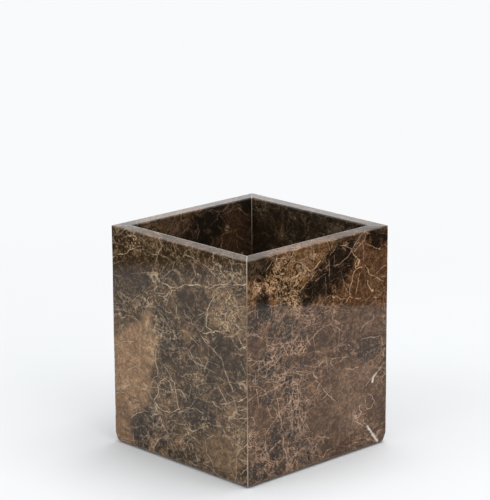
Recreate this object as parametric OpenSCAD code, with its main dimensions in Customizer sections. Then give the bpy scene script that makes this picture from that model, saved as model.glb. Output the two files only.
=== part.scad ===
// Square marble pen cup: four mitred stone walls bonded round a stone base, standing on four felt pads.
// Millimetres, +Z up. The origin lies on the desk, under the middle of the cup.
// The front wall faces -Y, the right wall +X, the back wall +Y and the left wall -X.

/* [Cup] */
// Outside width of the square cup, from wall face to wall face
cup_width = 88; // [60:1:140]
// Height of the stone walls
wall_height = 101.5; // [60:0.5:160]
// Thickness of the walls
wall_thickness = 7; // [4:0.5:12]

/* [Base] */
// Thickness of the base slab
base_thickness = 7; // [4:0.5:14]
// Height of the underside of the base above the foot of the walls
base_recess = 0.5; // [0:0.1:0.8]

/* [Resin] */
// Thickness of the resin line in each mitred corner
corner_resin = 0.3; // [0.1:0.05:0.8]
// Thickness of the resin line round the edge of the base
base_resin = 0.3; // [0.1:0.05:0.8]

/* [Edges] */
// Leg of the flat ground on each wall along an upright corner
corner_arris = 0.5; // [0.3:0.1:1.5]
// Leg of the chamfer along the inner and outer edges of the rim
rim_arris = 0.4; // [0.2:0.1:1.5]
// Leg of the chamfer along the outer foot of the walls
foot_arris = 0.9; // [0.3:0.1:2.5]
// Depth of the cut that eases the foot of an upright corner
foot_ease_depth = 1.4; // [0.5:0.1:3]
// Height of the cut that eases the foot of an upright corner
foot_ease_height = 4; // [2:0.5:10]
// Depth of the same cut on the front right corner, which is left nearly sharp
sharp_ease_depth = 0.4; // [0.2:0.1:3]
// Height of the same cut on the front right corner
sharp_ease_height = 1.5; // [1:0.5:10]

/* [Pads] */
// Diameter of a felt pad
pad_diameter = 12; // [6:1:20]
// Thickness of a felt pad
pad_thickness = 1; // [0.8:0.1:3]
// Distance from a pad to the nearest edges of the base slab
pad_margin = 3; // [1:0.5:8]

/* [Hidden] */

// Number of segments on a round
$fn = 96;
// Overshoot of a cutting tool past the stone
overcut = 1;

// Half the outside width, to a wall's face
half_width = cup_width / 2;
// Half the width of the well
half_well = half_width - wall_thickness;
// Half the width of the base slab
half_base = half_well - base_resin;

// Height of the foot of the walls above the desk
wall_foot = pad_thickness - base_recess;
// Height of the rim above the desk
rim_height = wall_foot + wall_height;
// Height of the cup's floor above the desk
floor_height = pad_thickness + base_thickness;

// Share of a resin line that each mitred wall gives up, measured along its face
mitre_setback = corner_resin / sqrt(2);
// Distance of the ground flat from the upright corner, measured along a face
corner_leg = mitre_setback + corner_arris;
// Distance of the ground flat from the cup's axis, along the diagonal
corner_reach = (2 * half_width - corner_leg) / sqrt(2);
// A length that clears the whole cup from its axis
clear_reach = cup_width + overcut;

// Distance of a pad's centre from the cup's axis, along X and along Y
pad_offset = half_base - pad_margin - pad_diameter / 2;

// Colours of the pieces
grey_brown_stone = [0.27, 0.21, 0.17];
red_brown_stone = [0.31, 0.22, 0.17];
pale_resin = [0.66, 0.58, 0.48];
black_felt = [0.09, 0.09, 0.10];

// Runs a half profile, given as distance from the axis and height, across the cup as a square form.
// The profile is mirrored and drawn through along X and along Y; the square form is where both meet.
module square_form(profile) {
    mirrored = [for (i = [len(profile) - 1 : -1 : 0]) [-profile[i][0], profile[i][1]]];
    intersection_for (turn = [0, 90])
        rotate([0, 0, turn])
            rotate([90, 0, 0])
                linear_extrude(2 * clear_reach, center = true)
                    polygon(concat(profile, mirrored));
}

// The outside of the four walls, with the foot and the rim chamfered
module wall_block() {
    square_form([
        [half_width - foot_arris, wall_foot],
        [half_width, wall_foot + foot_arris],
        [half_width, rim_height - rim_arris],
        [half_width - rim_arris, rim_height]
    ]);
}

// The space inside the four walls, open at both ends, with a flare at the rim
module wall_well() {
    square_form([
        [half_well, wall_foot - overcut],
        [half_well, rim_height - rim_arris],
        [half_well + rim_arris + overcut, rim_height + overcut]
    ]);
}

// Grinds one upright corner: a narrow flat that leans in over the last stretch to the foot
module corner_grinding(quarter, ease_depth, ease_height) {
    lean = ease_depth / ease_height;
    rotate([0, 0, 90 * quarter - 45])
        rotate([90, 0, 0])
            linear_extrude(2 * clear_reach, center = true)
                polygon([
                    [corner_reach - ease_depth - lean * overcut, wall_foot - overcut],
                    [corner_reach, wall_foot + ease_height],
                    [corner_reach, rim_height + overcut],
                    [corner_reach + clear_reach, rim_height + overcut],
                    [corner_reach + clear_reach, wall_foot - overcut]
                ]);
}

// The four walls and their resin as one form, as they are after grinding and polishing
module polished_shell() {
    difference() {
        wall_block();
        wall_well();
        corner_grinding(0, sharp_ease_depth, sharp_ease_height);
        for (quarter = [1 : 3])
            corner_grinding(quarter, foot_ease_depth, foot_ease_height);
    }
}

// The share of the shell that belongs to one wall, between its two mitre planes
module mitred_wall(quarter) {
    intersection() {
        polished_shell();
        rotate([0, 0, 90 * quarter])
            linear_extrude(rim_height + overcut)
                polygon([
                    [0, -mitre_setback],
                    [-clear_reach, -mitre_setback - clear_reach],
                    [clear_reach, -mitre_setback - clear_reach]
                ]);
    }
}

// The resin that fills one mitred corner, flush with the walls on every side
module corner_seam(quarter) {
    color(pale_resin)
        intersection() {
            polished_shell();
            rotate([0, 0, 90 * quarter - 45])
                translate([0, -corner_resin / 2, 0])
                    cube([2 * clear_reach, corner_resin, rim_height + overcut]);
        }
}

// One felt pad under a corner of the base
module felt_pad(quarter) {
    color(black_felt)
        rotate([0, 0, 90 * quarter])
            translate([pad_offset, -pad_offset, 0])
                cylinder(d = pad_diameter, h = pad_thickness);
}

module front_wall() { color(grey_brown_stone) mitred_wall(0); }
module right_wall() { color(red_brown_stone) mitred_wall(1); }
module back_wall() { color(grey_brown_stone) mitred_wall(2); }
module left_wall() { color(red_brown_stone) mitred_wall(3); }

// The stone floor, let in between the walls
module base_slab() {
    color(red_brown_stone)
        translate([-half_base, -half_base, pad_thickness])
            cube([2 * half_base, 2 * half_base, base_thickness]);
}

// The ring of resin between the base and the walls
module base_seam() {
    color(pale_resin)
        translate([0, 0, pad_thickness])
            linear_extrude(base_thickness)
                difference() {
                    square(2 * half_well, center = true);
                    square(2 * half_base, center = true);
                }
}

front_wall();
right_wall();
back_wall();
left_wall();
base_slab();
corner_seam(0);  // front_right_seam
corner_seam(1);  // back_right_seam
corner_seam(2);  // back_left_seam
corner_seam(3);  // front_left_seam
base_seam();
felt_pad(0);  // front_right_pad
felt_pad(1);  // back_right_pad
felt_pad(2);  // back_left_pad
felt_pad(3);  // front_left_pad
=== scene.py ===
"""Square marble pen cup: polished stone walls, an inset base, resin lines and felt pads, in a plain studio.

Pieces are in metres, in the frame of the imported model. Shapes and stone patterns are worked out in
millimetres: on a wall, u runs along the face from its left edge, v up from the desk and w into the stone.
"""
import logging
import math
from dataclasses import dataclass, field, replace
from enum import Enum, unique
from functools import lru_cache, reduce
from typing import ClassVar, Mapping, Optional, Sequence, Union

import bmesh
import bpy
import numpy as np
from mathutils import Matrix, Vector


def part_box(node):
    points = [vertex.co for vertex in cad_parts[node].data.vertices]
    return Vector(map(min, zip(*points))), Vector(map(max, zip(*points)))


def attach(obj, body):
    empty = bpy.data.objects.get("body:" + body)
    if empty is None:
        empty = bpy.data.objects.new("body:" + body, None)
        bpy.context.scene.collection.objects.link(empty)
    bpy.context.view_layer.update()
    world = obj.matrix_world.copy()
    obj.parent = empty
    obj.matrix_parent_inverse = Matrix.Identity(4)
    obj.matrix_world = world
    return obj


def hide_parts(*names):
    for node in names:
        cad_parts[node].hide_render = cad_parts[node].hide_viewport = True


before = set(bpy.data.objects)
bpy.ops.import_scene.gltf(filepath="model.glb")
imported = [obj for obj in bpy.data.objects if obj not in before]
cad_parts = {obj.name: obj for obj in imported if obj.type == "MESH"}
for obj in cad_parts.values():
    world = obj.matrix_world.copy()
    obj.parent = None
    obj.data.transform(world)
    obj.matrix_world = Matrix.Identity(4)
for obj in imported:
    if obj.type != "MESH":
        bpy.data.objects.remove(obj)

LOG = logging.getLogger("pen_cup")
MM = 0.001
QUARTER_TURN = 0.5 * math.pi
ROOT_TWO = math.sqrt(2.0)
ROOT = "root"

Colour = tuple[float, float, float]
Point = tuple[float, float]
Spot = tuple[float, float, float]
Line = tuple[Point, ...]
Wave = tuple[float, float]
Span = tuple[float, float]
Feed = Union["Socket", float, Sequence[float]]


# Node sheets

class Socket:
    """One node output. Arithmetic on values adds Math nodes."""

    def __init__(self, sheet: "NodeSheet", output: Optional[bpy.types.NodeSocket]) -> None:
        """Wraps an output of a sheet's node."""
        self.sheet = sheet
        self.output = output

    def _math(self, operation: str, first: Feed, second: Feed) -> "Socket":
        """Adds one Math node."""
        return self.sheet.node("ShaderNodeMath", {"operation": operation}, {0: first, 1: second})

    def __add__(self, other: Feed) -> "Socket":
        """This value plus another."""
        return self._math("ADD", self, other)

    def __sub__(self, other: Feed) -> "Socket":
        """This value less another."""
        return self._math("SUBTRACT", self, other)

    def __rsub__(self, other: Feed) -> "Socket":
        """Another value less this one."""
        return self._math("SUBTRACT", other, self)

    def __mul__(self, other: Feed) -> "Socket":
        """This value times another."""
        return self._math("MULTIPLY", self, other)

    def __truediv__(self, other: Feed) -> "Socket":
        """This value divided by another."""
        return self._math("DIVIDE", self, other)

    def __rpow__(self, other: Feed) -> "Socket":
        """Another value to the power of this one."""
        return self._math("POWER", other, self)

    def least(self, other: Feed) -> "Socket":
        """The smaller of this value and another."""
        return self._math("MINIMUM", self, other)

    def most(self, other: Feed) -> "Socket":
        """The larger of this value and another."""
        return self._math("MAXIMUM", self, other)

    def size(self) -> "Socket":
        """This value without its sign."""
        return self._math("ABSOLUTE", self, 0.0)

    def band(self, start: Feed, stop: Feed, low: Feed = 0.0, high: Feed = 1.0) -> "Socket":
        """A smooth step.

        Args:
            start: The value at which the step starts.
            stop: The value at which it ends.
            low: What it gives before start.
            high: What it gives after stop.

        Returns:
            The stepped value.
        """
        return self.sheet.node("ShaderNodeMapRange", {"interpolation_type": "SMOOTHSTEP", "clamp": False},
                               {0: self, 1: start, 2: stop, 3: low, 4: high})


class NodeSheet:
    """The nodes of one material, node group or world."""

    def __init__(self, tree: bpy.types.NodeTree) -> None:
        """Empties a node tree to build in."""
        self.tree = tree
        tree.nodes.clear()

    def node(self, kind: str, settings: Mapping[str, object], feeds: Mapping[Union[int, str], Feed],
             output: Union[int, str] = 0) -> Socket:
        """Adds a node.

        Args:
            kind: Blender's name of the node type.
            settings: Properties of the node, set first.
            feeds: What goes into each input, by number or name: a link or a fixed value.
            output: The output to return, by number or name.

        Returns:
            That output.
        """
        made = self.tree.nodes.new(kind)
        for name, setting in settings.items():
            setattr(made, name, setting)
        for key, feed in feeds.items():
            if isinstance(feed, Socket):
                self.tree.links.new(feed.output, made.inputs[key])
            else:
                made.inputs[key].default_value = feed
        return Socket(self, made.outputs[output] if made.outputs else None)

    def at(self) -> Socket:
        """The place in object coordinates, in metres."""
        return self.node("ShaderNodeTexCoord", {}, {}, "Object")

    def millimetres(self) -> Socket:
        """The place in object coordinates, in millimetres."""
        return self.scaled(self.at(), 1.0 / MM)

    def seen(self) -> Socket:
        """1 where a ray comes from the camera, a mirror or glass, and 0 where it only gathers light."""
        camera, glossy, through = (self.node("ShaderNodeLightPath", {}, {}, f"Is {kind} Ray")
                                   for kind in ("Camera", "Glossy", "Transmission"))
        return camera.most(glossy).most(through)

    def vector(self, operation: str, *feeds: Feed, output: int = 0) -> Socket:
        """Adds one Vector Math node."""
        return self.node("ShaderNodeVectorMath", {"operation": operation}, dict(enumerate(feeds)), output)

    def away(self, place: Feed, other: Feed) -> Socket:
        """Distance between two places."""
        return self.vector("DISTANCE", place, other, output=1)

    def scaled(self, vector: Feed, factor: Feed) -> Socket:
        """A vector times a value."""
        return self.node("ShaderNodeVectorMath", {"operation": "SCALE"}, {0: vector, "Scale": factor})

    def mix(self, factor: Feed, first: Feed, second: Feed, blend: str = "MIX") -> Socket:
        """Mixes two colours by a factor."""
        fixed = [feed if isinstance(feed, Socket) else (*feed, 1.0) for feed in (first, second)]
        return self.node("ShaderNodeMix", {"data_type": "RGBA", "blend_type": blend},
                         {0: factor, 6: fixed[0], 7: fixed[1]}, 2)

    def noise(self, place: Feed, grain: float, detail: float = 2.0, rough: float = 0.5, twist: float = 0.0,
              output: int = 0) -> Socket:
        """Cloudy noise whose clouds are about grain millimetres across; output 1 gives three of them."""
        return self.node("ShaderNodeTexNoise", {"noise_dimensions": "3D"},
                         {"Vector": place, "Scale": 1.0 / grain, "Detail": detail, "Roughness": rough,
                          "Distortion": twist}, output)

    def threads(self, place: Feed, grain: float, half: float, twist: float, detail: float = 2.0) -> Socket:
        """Threads where a noise of that grain passes its middle, fading out at half to either side."""
        return (self.noise(place, grain, detail, 0.5, twist) - 0.5).size().band(half, half * 0.25)

    def voronoi(self, place: Feed, cell: float, feature: str, output: int = 0) -> Socket:
        """Adds one net of cells of that size in millimetres."""
        return self.node("ShaderNodeTexVoronoi", {"voronoi_dimensions": "3D", "feature": feature},
                         {"Vector": place, "Scale": 1.0 / cell}, output)

    def cracks(self, place: Feed, cell: float) -> Socket:
        """Distance in millimetres from the nearest line of a net of cracks with cells of that size."""
        return self.voronoi(place, cell, "DISTANCE_TO_EDGE") * cell

    def cells(self, place: Feed, cell: float) -> list[Socket]:
        """Three numbers from 0 to 1 for each cell of the same net of cracks."""
        tint = self.voronoi(place, cell, "F1", 1)
        return [self.node("ShaderNodeSeparateColor", {}, {0: tint}, channel) for channel in range(3)]

    def bend(self, place: Feed, source: Feed, wave: float, reach: float) -> Socket:
        """Moves a place about by noise of that wave length, read at the source, by about a fifth of reach."""
        clouds = self.noise(source, wave, output=1)
        parts = [self.node("ShaderNodeSeparateColor", {}, {0: clouds}, channel) - 0.5 for channel in range(3)]
        push = self.node("ShaderNodeCombineXYZ", {}, dict(enumerate(parts)))
        return self.vector("ADD", place, self.scaled(push, reach))

    def exposed(self, colour: Feed, stops: Socket) -> Socket:
        """A colour, lighter or darker by a number of stops."""
        factor = 2.0 ** stops
        grey = self.node("ShaderNodeCombineColor", {}, {0: factor, 1: factor, 2: factor})
        return self.mix(1.0, colour, grey, "MULTIPLY")

    def to_lines(self, place: Feed, lines: Sequence[Line]) -> Socket:
        """Distance from a place to the nearest of several bent lines, in millimetres."""
        return self.node("ShaderNodeGroup", {"node_tree": line_group(lines)}, {0: place})

    def to_spots(self, place: Feed, spots: Sequence[Spot]) -> Socket:
        """Distance from a place to the rim of the nearest round spot, negative inside it."""
        return reduce(Socket.least, (self.away(place, (u, v, 0.0)) - radius for u, v, radius in spots))

    def bump(self, height: Feed, strength: float, distance: float) -> Socket:
        """A normal tilted by a height, which stands for that distance in metres."""
        return self.node("ShaderNodeBump", {}, {"Strength": strength, "Distance": distance, "Height": height})

    def glow(self, colour: Feed) -> Socket:
        """A shader that shines in a colour."""
        return self.node("ShaderNodeEmission", {}, {"Color": colour, "Strength": 1.0})

    def end(self, shader: Socket, kind: str = "Material") -> None:
        """Ends the sheet in a shader."""
        self.node(f"ShaderNodeOutput{kind}", {}, {"Surface": shader})

    def surface(self, **feeds: Feed) -> None:
        """Ends the sheet in a Principled shader with these inputs."""
        named = {name.replace("_", " "): feed for name, feed in feeds.items()}
        self.end(self.node("ShaderNodeBsdfPrincipled", {}, named))


@lru_cache(maxsize=None)
def line_group(lines: tuple[Line, ...]) -> bpy.types.NodeTree:
    """A node group that gives the distance from a place to the nearest of several bent lines.

    The nearest point of a straight stretch from a to b is a + h * (b - a), with h the place's share of the
    way along it, held between 0 and 1.

    Args:
        lines: The points of each line in millimetres.

    Returns:
        The group, with the place as its input and the distance as its output.
    """
    tree = bpy.data.node_groups.new("vein_lines", "ShaderNodeTree")
    tree.interface.new_socket("place", in_out="INPUT", socket_type="NodeSocketVector")
    tree.interface.new_socket("distance", in_out="OUTPUT", socket_type="NodeSocketFloat")
    sheet = NodeSheet(tree)
    place = sheet.node("NodeGroupInput", {}, {})

    def to_stretch(start: Point, stop: Point) -> Socket:
        """Distance from the place to one straight stretch."""
        run = np.subtract(stop, start)
        slope = run / run.dot(run)
        along = sheet.vector("DOT_PRODUCT", place, (*slope, 0.0), output=1) - float(slope.dot(start))
        share = along.most(0.0).least(1.0)
        foot = sheet.vector("ADD", sheet.scaled((*run, 0.0), share), (*start, 0.0))
        return sheet.away(place, foot)

    stretches = (pair for line in lines for pair in zip(line, line[1:]))
    nearest = reduce(Socket.least, (to_stretch(*pair) for pair in stretches))
    sheet.node("NodeGroupOutput", {}, {0: nearest})
    return tree


def new_sheet(name: str) -> tuple[bpy.types.Material, NodeSheet]:
    """Makes an empty material and its sheet."""
    material = bpy.data.materials.new(name)
    material.use_nodes = True
    return material, NodeSheet(material.node_tree)


# Stone

@unique
class VeinKind(Enum):
    """Kinds of listed vein: half width in millimetres, and strength."""

    HAIR = (0.14, 0.42)
    PALE = (0.165, 0.66)
    BRIGHT = (0.165, 0.86)
    AMBER = (0.16, 0.90)
    WHITE = (0.55, 1.0)


@unique
class PatchKind(Enum):
    """Kinds of listed patch: softness of the border and how far it wanders, in millimetres."""

    LIGHT = (1.8, 8.0)
    WARM = (3.0, 5.0)
    GOLD = (1.5, 8.0)
    DARK = (1.6, 7.0)
    BLACK = (2.2, 6.0)
    SPOT = (0.35, 3.0)
    NET = (4.0, 6.0)
    HOLES = (2.5, 5.0)
    SAND = (3.0, 7.0)
    CALM = (3.0, 6.0)


@dataclass(frozen=True)
class StonePalette:
    """Colours of one sort of marble."""

    deep: Colour
    ground: Colour
    light: Colour
    warm: Colour
    dark: Colour
    black: Colour
    gold: Colour
    gilt: Colour
    vein: Colour
    white: Colour


@dataclass(frozen=True)
class SlabPattern:
    """The veins and patches of one slab, in millimetres across its face."""

    veins: Mapping[VeinKind, tuple[Line, ...]] = field(default_factory=dict)
    patches: Mapping[PatchKind, tuple[Spot, ...]] = field(default_factory=dict)


GREY_BROWN = StonePalette(
    deep=(0.038, 0.021, 0.0095), ground=(0.092, 0.053, 0.026), light=(0.282, 0.162, 0.080),
    warm=(0.203, 0.107, 0.052), dark=(0.036, 0.020, 0.009), black=(0.009, 0.006, 0.003),
    gold=(0.160, 0.094, 0.047), gilt=(0.54, 0.37, 0.20), vein=(0.66, 0.50, 0.34), white=(0.70, 0.62, 0.52))
RED_BROWN = StonePalette(
    deep=(0.070, 0.0350, 0.0178), ground=(0.113, 0.0575, 0.030), light=(0.156, 0.086, 0.048),
    warm=(0.081, 0.035, 0.0145), dark=(0.038, 0.024, 0.016), black=(0.0085, 0.0050, 0.0028),
    gold=(0.120, 0.056, 0.0205), gilt=(0.67, 0.42, 0.23), vein=(0.66, 0.42, 0.285), white=(0.74, 0.65, 0.55))

FRONT_PATTERN = SlabPattern(
    veins={
        VeinKind.BRIGHT: (
            ((35, 82.5), (40, 81), (47, 82.5), (50, 84.5), (58, 85.6),
             (65, 85.7), (70, 88.5), (79, 90), (88, 92)),
            ((68.5, 84), (66, 80), (63.8, 76.5), (62.5, 70), (63.5, 68), (66, 67)),
            ((61, 65), (67, 66.3), (74, 68)),
            ((29, 25.5), (31, 23.3), (33, 22.6), (37, 22.6), (41, 24.3), (43.8, 26.2)),
            ((28.5, 26), (31, 31), (32.5, 36), (35, 37.8), (37.5, 37.5), (40, 34)),
            ((38, 38.3), (41, 37.5), (42.3, 33), (44, 26)),
            ((26, 18), (28, 19.7), (31, 20.7), (28.5, 23.5)), ((47, 34), (48.5, 32), (50, 31.2)),
            ((66, 35), (68, 33.5), (71, 32)), ((71, 34.5), (75, 36), (80, 38.3), (84, 39.6), (88, 42)),
            ((73, 30), (78, 30), (84, 31), (88, 32.3)),
            ((88, 20.3), (84, 18), (82, 15.5), (81, 11), (81, 4.5), (80, 0)), ((83, 62), (88, 64.5)),
        ),
        VeinKind.PALE: (
            ((0, 86.5), (4, 89.5), (10, 91), (15, 94), (20, 96)), ((70, 87), (75, 88.5), (80, 89)),
            ((61, 96), (65, 93.5), (70, 91.5)),
            ((31, 75), (36, 76.5), (39, 78.5), (43, 73), (43, 69.5), (45, 67.5)), ((58.5, 64), (60.5, 67)),
            ((74, 66), (80, 67.5)), ((76.5, 73.5), (79, 69)), ((83, 68), (85, 65.5)),
            ((84, 57), (87.5, 52)), ((50, 62), (55, 60), (58, 58)), ((51, 55), (54, 51.5), (58, 48)),
            ((62, 54.5), (63, 53), (61.5, 50), (61.5, 47)),
            ((59.5, 63), (62, 61), (66, 58.8), (70, 56.6), (72.5, 55),
             (73, 52), (75, 49.5), (77, 46), (79.5, 42.5)), ((1, 46), (8, 49), (14, 51)),
            ((29, 50), (28, 46), (31, 40.5), (30, 38), (27, 36.5), (26.5, 33)),
            ((35, 43), (38, 40.5), (40, 38)), ((36, 17), (39, 19.5), (42, 20), (41, 17.5), (38.5, 14.5)),
            ((19, 5), (21, 7.5), (24, 9)), ((20, 4.5), (24, 3), (27, 4), (29, 7), (33, 10)),
            ((13, 7), (13, 3), (14.5, 0)), ((36.5, 12), (36.5, 6), (36, 0)),
            ((39, 11.5), (41, 8), (43.5, 4.5)), ((44.5, 25), (48, 21.5), (52, 17.5), (57, 20), (62, 23.5)),
            ((11, 13.5), (16, 17), (20, 19.5)), ((50, 28), (55, 28.5), (60, 27)),
            ((71, 25), (75, 21.5), (79, 17.5)), ((62, 17), (67, 19)),
            ((61, 16), (62, 10), (65, 7), (66, 1)), ((83, 6), (88, 10)), ((81, 5), (82.5, 0)),
        ),
        VeinKind.HAIR: (
            ((12, 82), (20, 83.5), (26, 85)), ((31, 99), (31, 95)), ((42, 100), (44, 95)),
            ((33, 86), (36, 90)), ((45, 93), (50, 100)), ((64, 97), (70, 93), (74, 92)),
            ((0, 63), (10, 64)), ((67, 58.5), (70, 61.5)), ((80, 74), (82, 72.5), (88, 73)),
            ((78, 59.5), (85, 60)), ((64, 53), (70, 52)), ((58, 48), (63, 48.8), (69, 47.5)),
            ((47.5, 23), (52, 29.5), (57, 35)), ((21, 18), (23, 15.5), (25, 15)), ((16, 7), (20, 7)),
            ((21, 12), (24, 8), (26, 4)), ((44, 14), (50, 10), (54, 4)), ((33, 4.5), (33.5, 0)),
            ((70, 76), (77, 79), (84, 76)), ((46, 42), (52, 44), (57, 40)), ((68, 27), (74, 25), (80, 26)),
            ((8, 36), (16, 39), (22, 37)), ((5, 72), (14, 70), (20, 74)),
        ),
    },
    patches={
        PatchKind.LIGHT: (
            (2, 37, 14), (13, 42, 14), (20, 50, 11), (25, 57, 6), (24, 62, 4), (18, 32, 8), (9, 28, 9),
            (21, 26, 4), (13, 21, 5), (11, 17, 3),
        ),
        PatchKind.WARM: (
            (3, 20, 7), (4, 12, 7), (5, 4, 8), (55, 79, 3), (50, 64, 3), (42, 7, 5), (36, 4, 3),
            (30, 87, 2.5), (78, 31, 4), (29, 7, 6), (22, 4, 4), (33, 14, 4),
        ),
        PatchKind.GOLD: (
            (75, 79, 9), (69, 74, 6), (79, 72, 7), (85, 78, 7), (68, 81, 4), (37, 30, 4.5), (33, 28, 3),
            (70, 14, 9), (63, 12, 6), (76, 10, 6), (57, 43, 2.5), (82, 9, 7), (81, 22, 7), (78, 33, 4),
        ),
        PatchKind.DARK: (
            (10, 80, 11), (18, 84, 8), (3, 76, 7), (16, 77, 6), (33, 70, 4), (48, 79, 5), (53, 76, 5),
            (60, 80, 4), (59, 72, 5), (52, 70, 5), (70, 63, 5), (76, 62, 5), (66, 52, 5), (73, 56, 6),
            (81, 55, 6), (65, 45, 4), (36, 48, 5), (34, 44, 4), (56, 32, 5), (61, 31, 4), (54, 23, 5),
            (19, 13, 5), (24, 18, 4), (87, 6, 4), (52, 8, 4), (10, 95, 7), (24, 92, 7), (38, 92, 7),
            (49, 94, 7), (62, 99, 4), (36, 84, 4), (38, 98, 5), (38, 13, 3), (58, 92, 4), (42, 86, 3.5),
            (50, 38, 4), (60, 40, 3), (80, 98, 5), (70, 98, 4), (84, 88, 3), (20, 11, 5), (50, 46, 4),
            (44, 43, 3), (44, 3, 5), (57, 4, 3), (58, 26, 4), (36, 33, 3), (16, 6, 4), (30, 13, 3),
            (4, 97, 4), (44, 99, 4), (54, 97, 4), (88, 97, 4), (50, 27, 4), (65, 27, 4), (48, 31, 3),
            (60, 22, 3), (40, 52, 6), (46, 56, 4), (52, 52, 5), (44, 62, 3),
        ),
        PatchKind.SPOT: ((57.5, 90.5, 0.7), (38.5, 95, 0.4), (30.5, 85, 0.5), (86.5, 93, 0.5)),
        PatchKind.NET: (
            (30, 61, 4.5), (40, 59, 3.5), (24, 71, 2), (75, 78, 3), (72, 94, 3), (57, 38, 2), (30, 16, 5),
            (20, 9, 3.5), (36, 12, 3),
        ),
        PatchKind.SAND: (
            (75, 77, 10), (82, 94, 5), (70, 94, 6), (24, 73, 4), (32, 62, 5), (42, 60, 4), (56, 44, 3),
            (37, 30, 4), (83, 22, 4), (46, 50, 3), (16, 97, 5), (52, 15, 5), (60, 23, 4), (76, 24, 4),
        ),
        # Black patches at the foot: partly the stone's own dark spots, partly painted shade that darkens the
        # foot as a weaker reflection there would.
        PatchKind.BLACK: (
            (20, 11, 2.4), (26, 9, 2.0), (34, 8, 2.8), (30, 4, 2.4), (22, 3.5, 2.2), (38, 3, 2.0),
            (17, 6, 1.8),
        ),
        PatchKind.CALM: (
            (12, 44, 14), (16, 82, 10), (49, 79, 6), (60, 79, 5), (74, 57, 9), (4, 14, 9), (56, 27, 5),
            (66, 49, 5), (68, 12, 9),
        ),
    })

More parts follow.
